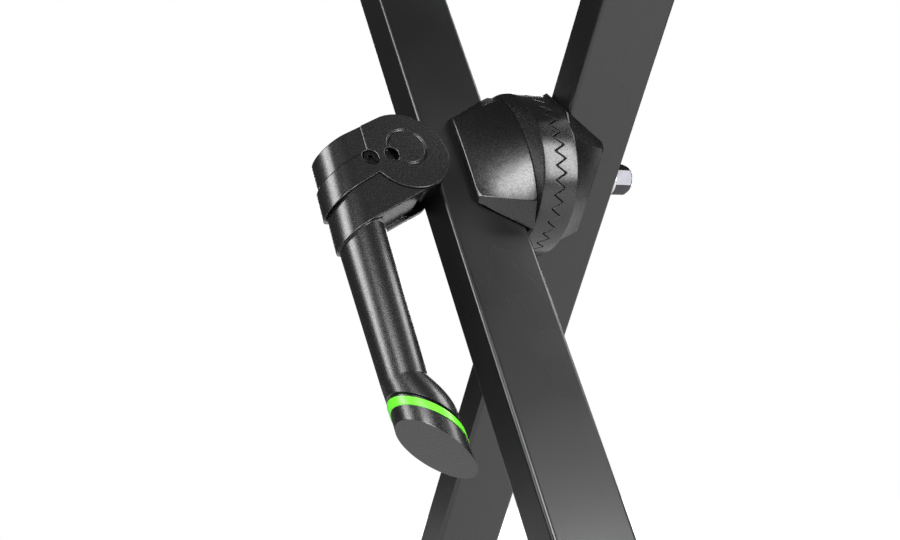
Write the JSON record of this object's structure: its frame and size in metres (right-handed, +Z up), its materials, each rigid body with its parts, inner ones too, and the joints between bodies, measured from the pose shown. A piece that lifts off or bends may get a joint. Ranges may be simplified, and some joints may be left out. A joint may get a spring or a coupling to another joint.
{
  "type": "folding keyboard stand",
  "caption": "Folding X-type stand for a keyboard, with a toothed clutch, a cam lever with a lime ring, round arms and feet.",
  "frame": {"origin": "on the floor, below the middle of the clutch's axle", "axes": "+Z up, +Y along the axle away from the lever, +X towards the front leg's foot bar"},
  "size_m": [0.6228, 0.432, 0.8724],
  "materials": {
    "coated_steel": "black powder coat, satin",
    "black_casting": "die cast, painted satin black",
    "black_lever": "glass-filled nylon, fine sparkle texture",
    "lime_ring": "bright lime",
    "black_nylon": "moulded",
    "joint_nylon": "moulded, fine grain",
    "black_rubber": "matt",
    "dark_chrome": "dark chrome",
    "axle_steel": "zinc plated",
    "zinc_fasteners": "zinc plated",
    "black_screw": "black oxide",
    "spring_steel": "spring wire",
    "bush_metal": "turned"
  },
  "bodies": {
    "front_frame": {"leg_tube_front": "coated_steel", "clutch_body_front": "black_casting", "toothed_ring_front": "black_casting", "axle_bush_front": "bush_metal", "cam_saddle": "black_nylon", "release_spring": "spring_steel", "foot_joint_front": "joint_nylon", "foot_bar_front": "coated_steel", "foot_caps_front": "black_rubber", "arm_joint_front": "joint_nylon", "arm_bar_front": "coated_steel", "arm_pads_front": "black_rubber", "arm_stops_front": "black_rubber", "joint_bolts_front": "zinc_fasteners", "joint_nuts_front": "zinc_fasteners", "set_screws_front": "zinc_fasteners"},
    "rear_frame": {"leg_tube_rear": "coated_steel", "clutch_body_rear": "black_casting", "axle_bush_rear": "bush_metal", "foot_joint_rear": "joint_nylon", "foot_bar_rear": "coated_steel", "foot_caps_rear": "black_rubber", "arm_joint_rear": "joint_nylon", "arm_bar_rear": "coated_steel", "arm_pads_rear": "black_rubber", "arm_stops_rear": "black_rubber", "joint_bolts_rear": "zinc_fasteners", "joint_nuts_rear": "zinc_fasteners", "set_screws_rear": "zinc_fasteners"},
    "axle": {"axle_bolt": "axle_steel", "cross_pin": "axle_steel", "rear_washer": "axle_steel", "cap_nut": "dark_chrome", "toothed_ring_rear": "black_casting"},
    "lever": {"lever_head": "black_lever", "lever_grip": "black_lever", "cam_lobes": "axle_steel", "head_screw": "black_screw", "head_screw_nut": "black_screw", "accent_ring": "lime_ring", "grip_end_cap": "black_lever"}
  },
  "joints": [
    {"name": "clutch_slide", "type": "slide", "parent": "front_frame", "child": "axle", "axis": [0, 1, 0], "range_m": [0, 0.0054]},
    {"name": "lever_swing", "type": "hinge", "parent": "axle", "child": "lever", "pos_m": [0, -0.074, 0.42833], "axis": [-0.848, 0, -0.5299], "range_deg": [0, 90]},
    {"name": "fold", "type": "hinge", "parent": "axle", "child": "rear_frame", "pos_m": [0, 0, 0.42833], "axis": [0, 1, 0], "range_deg": [-64, 30]}
  ],
  "couplings": [
    {"joint": "lever_swing", "follows": "clutch_slide", "rad_per_m": 290.89}
  ]
}
